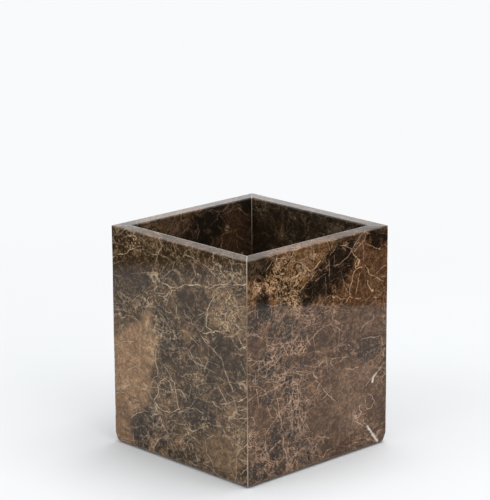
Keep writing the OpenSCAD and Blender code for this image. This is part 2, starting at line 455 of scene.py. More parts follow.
RIGHT_PATTERN = SlabPattern(
    veins={
        VeinKind.WHITE: (
            ((74.5, 10.5), (77.5, 7.5), (80, 4.5), (82.5, 1)), ((75.1, 9.4), (77.2, 6.9)),
            ((78.2, 31.2), (78.8, 33), (80.3, 34.3)),
        ),
        VeinKind.AMBER: (
            ((32, 82.5), (36, 85.5), (39, 87.2), (42, 89.2)), ((39.5, 90.5), (42, 92.3), (44.3, 93.8)),
            ((40.2, 90.6), (43, 92.4)), ((51, 95.3), (53, 97), (55, 99.5)),
            ((29, 89), (31, 90), (32.5, 92)),
            ((64, 95), (66, 92.5), (68, 90), (69.3, 89), (68.8, 87.5), (67, 86.5), (66.7, 88.5), (68, 90)),
            ((60.2, 72), (62.8, 74.3), (62.7, 77), (64, 81), (64.5, 83.5), (66, 85.2), (71, 86.4)),
            ((62.8, 74.3), (64.5, 73)), ((72.5, 86.5), (74.5, 84.5), (76, 82), (78.5, 80.5)),
            ((74.5, 79.5), (74, 77.5), (76, 75.5), (77.5, 73.5)), ((67, 72.6), (70, 72.2)),
            ((78.5, 71), (81, 70), (84, 71.5)), ((69.5, 83.5), (68.5, 80), (66.5, 75)),
            ((52, 76.5), (53.5, 75.5)), ((73, 96.5), (76, 95), (79, 93.5), (82, 92)),
        ),
        VeinKind.BRIGHT: (
            ((43, 63), (40, 60.5), (37, 59), (35, 57), (34, 54.5)),
            ((70, 57), (73, 59), (77, 60), (79, 62)), ((5.8, 45), (5.8, 41), (6.8, 36)),
            ((36, 31.5), (38, 32.5)), ((73, 30), (77, 32.5), (82, 35), (88, 39.5)),
            ((70, 22), (70, 20), (71, 18), (69, 16), (66.5, 16)),
            ((66, 15), (70, 13), (73, 10.8), (75, 10)),
        ),
        VeinKind.PALE: (
            ((41, 85.4), (44, 86.3), (48, 87.8)), ((46, 90), (49, 91), (50, 93)),
            ((49, 94), (50, 90), (50.5, 86)),
            ((53, 89.5), (56, 90.3), (59, 91.5), (61.5, 92.5), (64, 95), (66, 97), (69, 99)),
            ((66, 94.5), (69, 96), (72, 98), (73, 101)), ((56, 98.8), (59, 98), (62, 96.5), (64, 95.5)),
            ((61.5, 89), (63.5, 88.4)), ((78.5, 80.5), (81, 79), (85, 76.5)), ((11, 95), (15, 100)),
            ((17, 101), (18, 97), (20, 95)), ((44.5, 73.7), (49.5, 72.3)), ((30, 60.3), (34, 59.5)),
            ((30, 58), (34, 57), (30, 54)), ((27.5, 58.7), (27.2, 55.5)), ((22, 60), (23, 57), (24, 55)),
            ((15, 79), (14.5, 75), (11.3, 71), (11, 66), (11.5, 62.5), (9.5, 60.5)),
            ((55, 61.5), (59.5, 58.5)), ((62, 52), (64, 50)), ((72, 53), (80, 51.5), (83, 52)),
            ((4.5, 53), (5, 50), (4.7, 47)),
            ((15.5, 44), (17, 39), (18.5, 35), (19.2, 31), (20, 27), (21.5, 22.5)),
            ((10.5, 23), (13, 25), (18, 28.5), (19, 30.5)), ((21, 47.5), (23.5, 47.5), (23, 45), (21, 45)),
            ((30, 44), (30.5, 38), (31, 33), (31.5, 30), (32, 26), (34, 22), (34, 16)),
            ((27, 46), (28, 40), (26, 34), (28, 27), (27, 22)), ((36, 21.5), (37.5, 18)),
            ((35, 48.5), (40, 46.5), (44, 46.5), (49, 48)),
            ((48, 49.5), (49, 45), (49.5, 42), (53, 43.5), (51, 46), (52, 47.2), (56, 47.3)),
            ((57, 45), (61, 47)), ((60, 41.5), (65, 40), (69, 40)), ((46, 35), (48.5, 32), (55, 26.5)),
            ((45, 30), (51, 33)),
            ((75, 26), (77.5, 24), (79.5, 21), (78, 18.5), (75.5, 18.5), (74, 21), (73.5, 25)),
            ((45, 12.5), (50, 11)), ((46, 3), (48.5, 5.5), (51, 6)), ((0, 33), (3.5, 31), (4.5, 28.5)),
            ((0, 20), (5, 18), (9, 14.5), (12, 9), (14, 7)), ((12.5, 14), (16, 16), (20, 17.5)),
            ((21.5, 18), (21.5, 14), (23, 11.5), (24.5, 7), (25, 3)), ((85, 57), (88, 59)),
        ),
        VeinKind.HAIR: (
            ((53, 95), (53.2, 92), (53, 89.5)), ((71.3, 98), (71.3, 93), (72, 88)),
            ((57, 87), (58.5, 83), (60, 79), (61.5, 76)), ((78.5, 80.5), (82, 82.3), (85.5, 84)),
            ((58, 97.5), (60, 95.5)), ((84, 77), (84.3, 73.5)), ((48, 86), (48, 79), (47, 75)),
            ((39.5, 82), (39, 77)), ((70, 68), (75, 67.5), (80, 68.5)), ((0, 69), (5, 69), (9, 66.5)),
            ((33, 68), (40, 67)), ((49, 53), (53, 54)),
            ((40, 61), (41, 54), (48, 51), (56, 53), (57, 60), (50, 64), (43, 63)), ((11, 22), (11, 17)),
            ((20.5, 30), (24, 30), (25, 28)), ((24, 36), (25, 32), (26, 28)),
            ((30, 46), (35, 43.5), (40, 44)), ((36, 28.5), (39, 32.5), (45, 35)), ((82, 31), (88, 33.5)),
            ((77, 41), (83, 43.5), (86, 45)), ((57, 13), (60, 14.5)), ((0, 24), (4, 22)),
            ((16, 10), (17.5, 9), (18, 6)), ((36, 14), (38, 12), (40, 8)), ((40, 11), (43, 8)),
        ),
    },
    patches={
        PatchKind.LIGHT: ((64, 33, 9), (66, 22, 9), (74, 36, 6), (70, 14, 4), (56, 24, 4)),
        PatchKind.WARM: (
            (56, 76, 7), (70, 80, 12), (80, 90, 9), (84, 74, 8), (62, 74, 6), (75, 92, 7), (85, 84, 6),
            (61, 5, 4),
        ),
        PatchKind.GOLD: (
            (3, 90, 9), (12, 90, 8), (22, 91, 9), (32, 94, 9), (40, 99, 7), (33, 88, 6), (47, 99, 5),
            (25, 83, 5), (17, 84, 6), (4, 84, 5), (41, 93, 4),
        ),
        PatchKind.DARK: (
            (2, 73, 5), (10.5, 77, 6), (24, 67, 6), (8, 50, 4.5), (35, 64, 2.5), (11, 58, 2), (17, 21, 5),
            (17, 13, 4), (28, 18, 3), (36, 11, 2.5), (36, 5, 5), (3, 8, 5), (63, 49, 3), (72, 47, 6),
            (79, 47, 4.5), (20, 79, 3.5), (28, 70, 3), (15, 68, 3), (20, 4, 4), (10, 3, 4), (31, 12, 2),
            (24, 7, 2.5), (14, 50, 2.5), (22, 52, 2), (24, 40, 2), (13, 38, 2), (33, 38, 2), (34, 50, 2),
        ),
        PatchKind.BLACK: (
            (36, 82, 4.5), (40, 82, 5.5), (46, 84, 6), (53, 85, 5.5), (58, 86, 4), (36, 78, 3.5),
            (44, 88, 4), (52, 93, 5), (57, 94, 6), (62, 92, 4), (60, 88, 4), (64, 97, 3), (50, 79, 3),
            (80, 98, 5), (86, 98, 4), (75, 99, 2.5), (8, 98, 6), (3, 98, 5.5), (12, 98, 4), (8.5, 82, 4),
        ),
        PatchKind.SPOT: ((77.5, 74, 0.5), (11, 22.3, 0.5), (56, 37.5, 0.4), (68.5, 88.5, 0.4)),
        PatchKind.NET: (
            (18, 74, 3), (31, 73, 4), (28, 60, 6), (18, 58, 5), (12, 54, 6), (20, 46, 6), (28, 42, 7),
            (28, 30, 6), (30, 22, 6), (35, 95, 2.5), (27, 8, 6), (12, 8, 5), (8, 14, 5), (2, 24, 4),
            (38, 8, 5), (36, 70, 4), (68, 17, 3),
        ),
        PatchKind.SAND: ((29, 34, 5), (12, 7, 4), (27, 8, 5), (32, 57, 4), (2, 22, 4)),
        PatchKind.CALM: (
            (64, 30, 16), (72, 60, 13), (56, 8, 9), (82, 18, 8), (48, 58, 8), (54, 40, 8), (74, 84, 13),
            (8, 30, 6), (45, 22, 8), (5, 64, 5), (86, 4, 5),
        ),
        PatchKind.HOLES: (
            (9, 90, 7), (17, 89, 7), (22, 85, 7), (27, 82, 6), (13, 95, 5), (6, 96, 5), (29, 78, 5),
            (20, 96, 4), (28, 88, 4), (31, 93, 3), (36, 90, 2.5), (40, 97, 3), (26, 99, 3),
        ),
    })

PLAIN_PATTERN = SlabPattern(
    veins={
        VeinKind.BRIGHT: (((8, 30), (26, 42), (48, 40), (80, 62)),),
        VeinKind.PALE: (((20, 78), (34, 58), (44, 44)),),
        VeinKind.HAIR: (((60, 12), (56, 36), (72, 52)),),
    },
    patches={
        PatchKind.LIGHT: ((20, 24, 10), (66, 60, 9)),
        PatchKind.DARK: ((52, 40, 12), (28, 66, 9)),
        PatchKind.SAND: ((70, 26, 9),),
        PatchKind.SPOT: ((34, 30, 0.6),),
        PatchKind.WARM: ((40, 52, 9),),
        PatchKind.CALM: ((12, 50, 9),),
        PatchKind.NET: ((44, 28, 12),),
    })


@dataclass(frozen=True)
class StoneScales:
    """Sizes of the forms in the stone, in millimetres.

    A wave is its length and its push. A span is where a smooth step starts and ends: for a line, the distance
    at which it fades out and at which it is full, and for a vein, the same in half widths. The leaning nets
    are turned by angles in radians, and squeezed by a share along their way.
    """

    long_wave: Wave = (16.0, 9.0)
    short_wave: Wave = (2.6, 0.9)
    hand_waves: tuple[Wave, Wave, Wave] = ((7.0, 2.8), (1.7, 1.1), (0.9, 0.6))
    grain_wave: Wave = (0.8, 0.7)
    clouds: float = 15.0
    patchy: float = 9.0
    mottle: float = 3.0
    grain: float = 0.75
    large_shards: float = 12.0
    small_shards: float = 4.6
    holes: float = 2.0
    wide_net: float = 13.0
    leaning_nets: Span = (7.0, 8.0)
    close_net: float = 4.3
    net_turns: Span = (0.65, -0.75)
    net_squeeze: float = 0.35
    wide_line: Span = (0.19, 0.04)
    leaning_line: Span = (0.18, 0.03)
    close_line: Span = (0.22, 0.05)
    gap_border: Span = (0.2, 0.9)
    vein_body: Span = (1.7, 0.4)
    vein_shadow: Span = (4.5, 1.5)
    worms: float = 2.4
    curls: float = 6.0
    swells: float = 4.5
    polish_waves: float = 5.0
    glazed_rim: Span = (0.30, 0.02)
    inner_skin: Span = (5.5, 6.8)
    wear_start: Span = (0.02, 0.2)
    wear_end: Span = (1.2, 0.5)


@dataclass(frozen=True)
class StoneStrengths:
    """How much each form shows. Those of the grain's tone are in stops; the others are shares."""

    clouds: float = 1.5
    large_shards: float = 0.6
    small_shards: float = 0.5
    warm_tint: float = 0.3
    patch: float = 0.88
    black_patch: float = 0.96
    least_sand: float = 0.12
    sand: float = 0.8
    mottle_stops: float = 4.4
    grain_stops: float = 0.6
    sandy_stops: float = 1.2
    salt: float = 0.85
    light_holes: float = 0.3
    pits: float = 0.94
    rims: float = 0.92
    least_pepper: float = 0.08
    pepper: float = 0.7
    calm: float = 0.7
    wide_net: float = 0.4
    leaning_net: float = 0.5
    close_net: float = 0.74
    sand_net: float = 0.3
    net_worms: float = 0.7
    sand_worms: float = 0.25
    curls: float = 0.7
    gaps: float = 0.38
    dark_gaps: float = 0.4
    lost_in_dark: float = 0.4
    lost_in_black: float = 0.85
    veins_lost_in_black: float = 0.4
    vein_shadow: float = 0.3
    # how far the inner faces darken towards the painted shade
    inside: float = 0.5
    wear: float = 0.14
    worn_roughness: float = 0.15
    mottled_roughness: float = 0.02
    glaze: float = 0.5


@dataclass(frozen=True)
class StoneFields:
    """Places and noises of a slab that the steps of its finish share.

    Attributes:
        stone: The place in the slab.
        depth: How deep it lies behind the outer face.
        height: How high it lies above the desk.
        bent: The place, bent in long waves.
        ragged: The place, bent in long and short waves.
        hand: The place on the face, bent a little, for the listed veins.
        clouds: Broad clouds.
        patchy: Clouds a centimetre across.
        mottle: Fine clouds that go down to the grain.
        grain: Three numbers for each grain of the stone.
        cover: How much each kind of patch covers the place.
    """

    stone: Socket
    depth: Socket
    height: Socket
    bent: Socket
    ragged: Socket
    hand: Socket
    clouds: Socket
    patchy: Socket
    mottle: Socket
    grain: list[Socket]
    cover: dict[PatchKind, Socket]


@dataclass(frozen=True)
class MarbleFinish:
    """Polished marble of one slab.

    The ground is clouded and grained. Listed patches change its tone, nets of cracks run through it,
    and listed veins lie on top. All of it is read in slab millimetres, bent by noise, and leans a
    little with depth, so that the pattern runs through the slab to the rim and the inner face.
    """

    name: str
    palette: StonePalette
    pattern: SlabPattern
    quarter: int
    half_width: float
    seed: float
    rim: float
    mirrored: bool = False
    wander: float = 1.0
    sandy: float = 0.12
    curly: float = 0.3
    polish: float = 0.03
    honed: float = 0.30
    lean_along: float = 0.45
    lean_up: float = 0.35
    # painted shade: the near-black colour that the inner faces are darkened towards
    painted_inside_shade: Colour = (0.01, 0.008, 0.006)
    scales: StoneScales = StoneScales()
    shares: StoneStrengths = StoneStrengths()

    def place(self, sheet: NodeSheet) -> tuple[Socket, Socket, Socket, Socket]:
        """Reads slab millimetres from object coordinates.

        The object is turned back to the front, scaled to millimetres and measured from the left edge of
        the outer face. A mirrored slab is measured from its right edge.

        Args:
            sheet: The sheet to build in.

        Returns:
            The place in the stone, the place on the face, the depth and the height.
        """
        turn = (0.0, 0.0, -QUARTER_TURN * self.quarter)
        flip = -1.0 if self.mirrored else 1.0
        turned_back = sheet.node("ShaderNodeMapping", {}, {
            "Vector": sheet.at(), "Rotation": turn, "Scale": (1.0 / MM,) * 3})
        from_edge = sheet.node("ShaderNodeMapping", {}, {
            "Vector": turned_back, "Location": (self.half_width, self.half_width, 0.0),
            "Scale": (flip, 1.0, 1.0)})
        across, depth, height = (
            sheet.node("ShaderNodeSeparateXYZ", {}, {0: from_edge}, axis) for axis in range(3))
        along = across + depth * self.lean_along
        up = height - depth * self.lean_up
        face = sheet.node("ShaderNodeCombineXYZ", {}, {0: along, 1: up, 2: 0.0})
        stone = sheet.node("ShaderNodeCombineXYZ", {}, {0: along, 1: up, 2: depth + self.seed})
        return stone, face, depth, height

    def fields(self, sheet: NodeSheet) -> StoneFields:
        """Works out what the steps below share."""
        scales = self.scales
        stone, face, depth, height = self.place(sheet)
        length, push = scales.long_wave
        bent = sheet.bend(stone, stone, length, push * self.wander)
        ragged = sheet.bend(bent, stone, *scales.short_wave)
        (length, push), middle, short = scales.hand_waves
        loose = sheet.bend(sheet.bend(face, stone, length, push * self.wander), stone, *middle)
        hand = sheet.vector("MULTIPLY", sheet.bend(loose, stone, *short), (1.0, 1.0, 0.0))
        mottle = sheet.noise(ragged, scales.mottle, detail=3.0, rough=0.85)
        grain = sheet.cells(sheet.bend(stone, stone, *scales.grain_wave), scales.grain)
        border = mottle * 1.2 + sheet.cells(ragged, scales.small_shards)[0] * 0.4 - 0.8
        cover = {}
        for kind, spots in self.pattern.patches.items():
            soft, roam = kind.value
            cover[kind] = (sheet.to_spots(face, spots) + border * roam).band(soft, -soft)
        clouds = sheet.noise(bent, scales.clouds, detail=4.0, rough=0.6)
        patchy = sheet.noise(bent, scales.patchy)
        return StoneFields(stone, depth, height, bent, ragged, hand, clouds, patchy, mottle, grain, cover)

    def ground(self, sheet: NodeSheet, stone: StoneFields) -> Socket:
        """The clouded ground, in shards of slightly different tone, with its patches."""
        tone, cover, shares = self.palette, stone.cover, self.shares
        large, small = (sheet.cells(stone.ragged, size)[0]
                        for size in (self.scales.large_shards, self.scales.small_shards))
        level = ((stone.clouds - 0.5) * shares.clouds + (large - 0.5) * shares.large_shards
                 + (small - 0.5) * shares.small_shards + 0.5)
        colour = sheet.mix(level.band(0.0, 1.0), tone.deep, tone.ground)
        colour = sheet.mix(stone.patchy.band(0.45, 0.65) * shares.warm_tint, colour, tone.warm)
        shades = {PatchKind.LIGHT: tone.light, PatchKind.WARM: tone.warm, PatchKind.GOLD: tone.gold,
                  PatchKind.DARK: tone.dark, PatchKind.BLACK: tone.black, PatchKind.SPOT: tone.gilt}
        for kind, shade in shades.items():
            if kind in cover:
                strength = shares.black_patch if kind is PatchKind.BLACK else shares.patch
                colour = sheet.mix(cover[kind] * strength, colour, shade)
        return colour

    def grained(self, sheet: NodeSheet, stone: StoneFields, colour: Socket) -> Socket:
        """The ground with its grain: each grain lighter or darker, most of all where the stone is sandy."""
        tone, cover, shares = self.palette, stone.cover, self.shares
        loose = (1.0 - cover[PatchKind.CALM]) * self.sandy + shares.least_sand
        sandy = loose.most(cover[PatchKind.SAND] * shares.sand)
        light, dark, bright = stone.grain
        stops = ((stone.mottle - 0.5) * shares.mottle_stops
                 + (light - 0.5) * (sandy * shares.sandy_stops + shares.grain_stops))
        colour = sheet.exposed(colour, stops)
        salt = (bright * 0.6 + stone.mottle * 0.8).band(0.82, 0.95) * sandy * shares.salt
        if PatchKind.HOLES in cover:
            holed = cover[PatchKind.HOLES]
            holes = sheet.noise(stone.ragged, self.scales.holes, rough=0.65, twist=0.8)
            rims = (holes - 0.545).size().band(0.045, 0.012) * stone.mottle.band(0.38, 0.53, low=0.3)
            colour = sheet.mix(holed * stone.patchy.band(0.38, 0.58) * shares.light_holes, colour, tone.light)
            pits = holes.band(0.53, 0.43) * stone.mottle.band(0.64, 0.48, low=0.5)
            colour = sheet.mix(holed * pits * shares.pits, colour, tone.black)
            rimmed = (holed * rims * shares.rims).most(salt)
            salt = rimmed * (1.0 - cover[PatchKind.BLACK] * shares.lost_in_black)
        pepper = dark.band(0.60, 0.95) * (sandy * shares.pepper + shares.least_pepper)
        colour = sheet.mix(pepper, colour, tone.black)
        return sheet.mix(salt, colour, tone.gilt)

    def netted(self, sheet: NodeSheet, stone: StoneFields, colour: Socket) -> Socket:
        """The stone with its nets of pale cracks: wide ones, long ones that lean, close ones and curls."""
        tone, cover, shares, scales = self.palette, stone.cover, self.shares, self.scales
        ways = [sheet.node("ShaderNodeMapping", {}, {
            "Vector": stone.bent, "Rotation": (0.0, 0.0, turn), "Scale": (scales.net_squeeze, 1.0, 1.0)})
            for turn in scales.net_turns]
        quiet = 1.0 - cover[PatchKind.CALM] * shares.calm
        wide = sheet.cracks(stone.ragged, scales.wide_net).band(*scales.wide_line)
        wide = wide * stone.clouds.band(0.42, 0.60)
        long, crossing = (
            sheet.cracks(way, cell).band(*scales.leaning_line) * stone.patchy.band(*shown)
            for way, cell, shown in zip(ways, scales.leaning_nets, ((0.44, 0.58), (0.56, 0.42))))
        broken = stone.grain[2].band(0.1, 0.6, low=0.5)
        netted, sandy = cover[PatchKind.NET], cover[PatchKind.SAND]
        gaps = sheet.cracks(stone.ragged, scales.close_net)
        hollow = netted * (cover[PatchKind.DARK] * shares.dark_gaps + shares.gaps)
        colour = sheet.mix(gaps.band(*scales.gap_border) * hollow, colour, tone.black)
        close = gaps.band(*scales.close_line) * netted.most(sandy * shares.sand_net)
        worms = sheet.threads(stone.ragged, scales.worms, half=0.04, twist=0.5, detail=1.0)
        worms = worms * (netted * shares.net_worms).most(sandy * shares.sand_worms)
        curl = sheet.threads(stone.bent, scales.curls, half=0.011, twist=0.3) * netted
        lines = (wide * shares.wide_net).most(long * shares.leaning_net)
        lines = lines.most(crossing * shares.leaning_net) * quiet
        lines = lines.most((close * shares.close_net).most(worms * self.curly) * broken)
        lines = lines.most(curl * shares.curls) * stone.mottle.band(0.34, 0.52, low=0.4)
        lines = lines * (1.0 - cover[PatchKind.DARK] * shares.lost_in_dark)
        if PatchKind.BLACK in cover:
            lines = lines * (1.0 - cover[PatchKind.BLACK] * shares.lost_in_black)
        return sheet.mix(lines, colour, tone.vein)

    def veined(self, sheet: NodeSheet, stone: StoneFields, colour: Socket) -> Socket:
        """The stone with the listed veins, which swell, narrow and fade along their way."""
        tone, cover, shares, scales = self.palette, stone.cover, self.shares, self.scales
        swell = sheet.noise(stone.stone, scales.swells).band(0.34, 0.64, low=0.45, high=1.2)
        fade = stone.mottle.band(0.30, 0.56, low=0.50)
        if PatchKind.BLACK in cover:
            fade = fade * (1.0 - cover[PatchKind.BLACK] * shares.veins_lost_in_black)
        shades = {VeinKind.WHITE: tone.white, VeinKind.AMBER: tone.gilt}
        for kind, lines in self.pattern.veins.items():
            half, strength = kind.value
            away = sheet.to_lines(stone.hand, lines) / swell
            shadow, body = half * np.array((scales.vein_shadow, scales.vein_body))
            colour = sheet.mix(away.band(*shadow) * strength * shares.vein_shadow, colour, tone.black)
            colour = sheet.mix(away.band(*body) * fade * strength, colour, shades.get(kind, tone.vein))
        return colour

    def dress(self) -> bpy.types.Material:
        """Builds the material: honed inside, darkened there by painted shade, worn along its edges, and
        glazed on the rim.
        """
        material, sheet = new_sheet(self.name)
        shares, scales = self.shares, self.scales
        stone = self.fields(sheet)
        colour = self.grained(sheet, stone, self.ground(sheet, stone))
        colour = self.veined(sheet, stone, self.netted(sheet, stone, colour))
        inside = stone.depth.band(*scales.inner_skin)
        # painted shade: the inner faces are darkened towards a near-black colour, as if shaded inside the cup
        colour = sheet.mix(inside * shares.inside, colour, self.painted_inside_shade)
        edge = stone.depth.band(*scales.wear_start) * stone.depth.band(*scales.wear_end)
        worn = edge * stone.patchy.band(0.40, 0.60, low=0.4)
        colour = sheet.mix(worn * shares.wear, colour, self.palette.vein)
        gloss = (inside * (self.honed - self.polish) + stone.mottle * shares.mottled_roughness
                 + worn * shares.worn_roughness + self.polish)
        bump = sheet.bump(sheet.noise(stone.stone, scales.polish_waves), strength=0.03, distance=0.0003)
        start, full = (self.rim - gap for gap in scales.glazed_rim)
        glaze = stone.height.band(start, full) * shares.glaze
        sheet.surface(Base_Color=colour, Roughness=gloss, Specular_IOR_Level=0.30, Coat_Weight=glaze,
                      Coat_Roughness=0.03, Normal=bump)
        return material


@dataclass(frozen=True)
class ResinFinish:
    """Pale epoxy filled with stone dust: cloudy, with darker specks, and stained brown at mid height."""

    name: str = "pale_resin"
    pale: Colour = (0.62, 0.54, 0.45)
    dusty: Colour = (0.36, 0.27, 0.19)
    brown: Colour = (0.145, 0.092, 0.055)
    stain: float = 0.95
    stain_wander: float = 25.0
    stain_top: Span = (97.0, 80.0)
    stain_foot: Span = (8.0, 58.0)

    def dress(self) -> bpy.types.Material:
        """Builds the material."""
        material, sheet = new_sheet(self.name)
        place = sheet.millimetres()
        clouds = sheet.noise(place, grain=6.0, detail=4.0, rough=0.6)
        dust = sheet.noise(place, grain=0.35, rough=0.6)
        colour = sheet.mix((clouds * 0.6 + dust * 0.4).band(0.38, 0.62), self.dusty, self.pale)
        height = sheet.node("ShaderNodeSeparateXYZ", {}, {0: place}, 2)
        level = height + (clouds - 0.5) * self.stain_wander
        stained = level.band(*self.stain_top) * level.band(*self.stain_foot)
        colour = sheet.mix(stained * self.stain, colour, self.brown)
        sheet.surface(Base_Color=colour, Roughness=dust.band(0.3, 0.7, low=0.22, high=0.38), IOR=1.52,
                      Normal=sheet.bump(dust, strength=0.2, distance=0.0001))
        return material


@dataclass(frozen=True)
class FeltFinish:
    """Pressed black felt: matted fibres with a little lint."""

    name: str = "black_felt"
    black: Colour = (0.012, 0.012, 0.014)
    grey: Colour = (0.055, 0.054, 0.058)
    lint: Colour = (0.20, 0.19, 0.19)

    def dress(self) -> bpy.types.Material:
        """Builds the material."""
        material, sheet = new_sheet(self.name)
        place = sheet.millimetres()
        matted = sheet.bend(place, place, wave=1.4, reach=2.4)
        fibres = sheet.cracks(matted, cell=0.55).band(0.12, 0.0)
        fuzz = sheet.noise(matted, grain=0.22, detail=3.0, rough=0.7)
        colour = sheet.mix((fibres * 0.55 + fuzz * 0.6).band(0.2, 0.85), self.black, self.grey)
        flecks = sheet.noise(matted, grain=0.5, detail=1.0).band(0.70, 0.80)
        colour = sheet.mix(flecks * 0.6, colour, self.lint)
        sheet.surface(Base_Color=colour, Roughness=fuzz.band(0.2, 0.8, low=0.85), Sheen_Weight=0.4,
                      Normal=sheet.bump(fibres * 0.6 + fuzz, strength=0.7, distance=0.0003))
        return material


# Shapes

def soft_most(first: np.ndarray, second: np.ndarray, blend: float) -> np.ndarray:
    """The larger of two arrays, rounded off where they cross within blend of each other.

    With h the share of the second, from 0 to 1, it is the mix of both by h plus blend * h * (1 - h).
    """
    share = np.clip(0.5 + 0.5 * (second - first) / blend, 0.0, 1.0)
    return first + (second - first) * share + blend * share * (1.0 - share)


def graded(length: float, fine: float, coarse: float, rise: float) -> np.ndarray:
    """Steps from 0 to length: fine within rise of both ends, coarse between."""
    ends = np.arange(0.0, rise, fine)
    middle = np.linspace(rise, length - rise, round((length - 2.0 * rise) / coarse))
    return np.concatenate([ends, middle, length - ends[::-1]])


def grid_faces(rows: int, steps: int, ring: bool = False) -> np.ndarray:
    """Faces between the points of a closed loop carried along a path.

    Args:
        rows: Points in the loop.
        steps: Loops along the path.
        ring: Whether the path closes on itself too.

    Returns:
        The four point numbers of each face.
    """
    index = np.pad(np.arange(rows * steps).reshape(rows, steps), ((0, 1), (0, int(ring))), mode="wrap")
    return np.stack([index[:-1, :-1], index[:-1, 1:], index[1:, 1:], index[1:, :-1]], axis=-1).reshape(-1, 4)


def gridded(x: np.ndarray, y: np.ndarray, z: np.ndarray) -> np.ndarray:
    """Points from three coordinates, each spread over the whole grid."""
    return np.stack(np.broadcast_arrays(x, y, z), axis=-1)


def turned(points: np.ndarray, degrees: float) -> np.ndarray:
    """Points turned about the cup's axis."""
    cos, sin = math.cos(math.radians(degrees)), math.sin(math.radians(degrees))
    return points @ np.array([[cos, -sin, 0.0], [sin, cos, 0.0], [0.0, 0.0, 1.0]]).T


def box_mm(node: str) -> list[np.ndarray]:
    """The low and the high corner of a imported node's box, in millimetres."""
    return [np.array(corner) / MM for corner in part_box(node)]


def linked(name: str, data: bpy.types.ID) -> bpy.types.Object:
    """Makes an object and links it to the scene."""
    made = bpy.data.objects.new(name, data)
    bpy.context.scene.collection.objects.link(made)
    return made


class Side(Enum):
    """The walls and the corner at the right end of each, by quarter turns from the front."""

    FRONT = 0
    RIGHT = 1
    BACK = 2
    LEFT = 3

    def before(self) -> "Side":
        """The wall on the left of this one."""
        return Side((self.value - 1) % len(Side))

    def corner(self) -> str:
        """The name of the corner at the right end."""
        return ("front_right", "back_right", "back_left", "front_left")[self.value]


